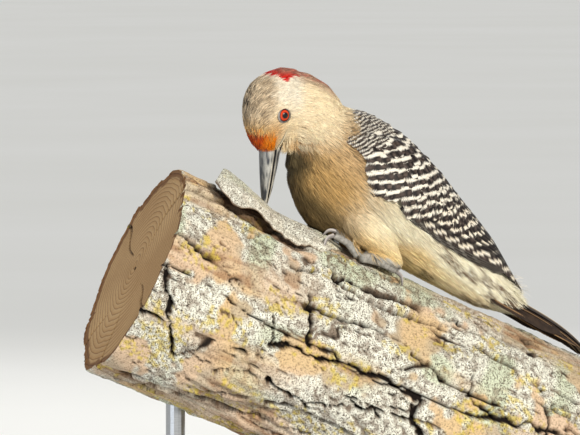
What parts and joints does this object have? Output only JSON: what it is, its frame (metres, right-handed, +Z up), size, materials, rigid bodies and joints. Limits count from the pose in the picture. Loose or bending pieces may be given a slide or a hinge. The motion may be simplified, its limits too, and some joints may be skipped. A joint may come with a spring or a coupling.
{
  "type": "red-bellied woodpecker model",
  "caption": "Life-size still model of a female woodpecker clinging to a cut length of lichened limb, head bent down to the bark, on a plain wooden base with steel rods.",
  "frame": {"origin": "centre of the underside of the stand's base", "axes": "+Z up; the bird faces -X and its left side faces -Y; the limb slopes down toward +X"},
  "size_m": [0.2517, 0.13, 0.2849],
  "materials": {
    "head": "grey-buff feathers",
    "bill": "slate-grey horn",
    "eye": "glossy orange-red iris with a black pupil",
    "neck": "cream-white feathers",
    "trunk": "buff and cream feathers, fine and hair-like",
    "wing": "dark grey-brown feathers barred and spotted white",
    "primaries": "blackish flight feathers with thin pale edges",
    "tail": "stiff blackish-brown feathers with pale shafts",
    "foot": "grey scaled skin",
    "claw": "grey horn",
    "bark": "flaking bark with pale and yellow lichen",
    "stand_wood": "dark stained wood, satin varnish",
    "stand_steel": "brushed steel rod"
  },
  "bodies": {
    "root": {"head": "head", "upper_bill": "bill", "lower_bill": "bill", "eye_left": "eye", "eye_right": "eye", "neck": "neck", "trunk": "trunk", "wing_left": "wing", "wing_right": "wing", "primaries_left": "primaries", "primaries_right": "primaries", "tail": "tail", "thigh_left": "trunk", "tarsus_left": "foot", "toe_left_1": "foot", "toe_left_2": "foot", "toe_left_3": "foot", "toe_left_4": "foot", "claw_left_1": "claw", "claw_left_2": "claw", "claw_left_3": "claw", "claw_left_4": "claw", "thigh_right": "trunk", "tarsus_right": "foot", "toe_right_1": "foot", "toe_right_2": "foot", "toe_right_3": "foot", "toe_right_4": "foot", "claw_right_1": "claw", "claw_right_2": "claw", "claw_right_3": "claw", "claw_right_4": "claw", "perch": "bark", "stand_base": "stand_wood", "stand_rod_1": "stand_steel", "stand_rod_2": "stand_steel"}
  },
  "joints": []
}
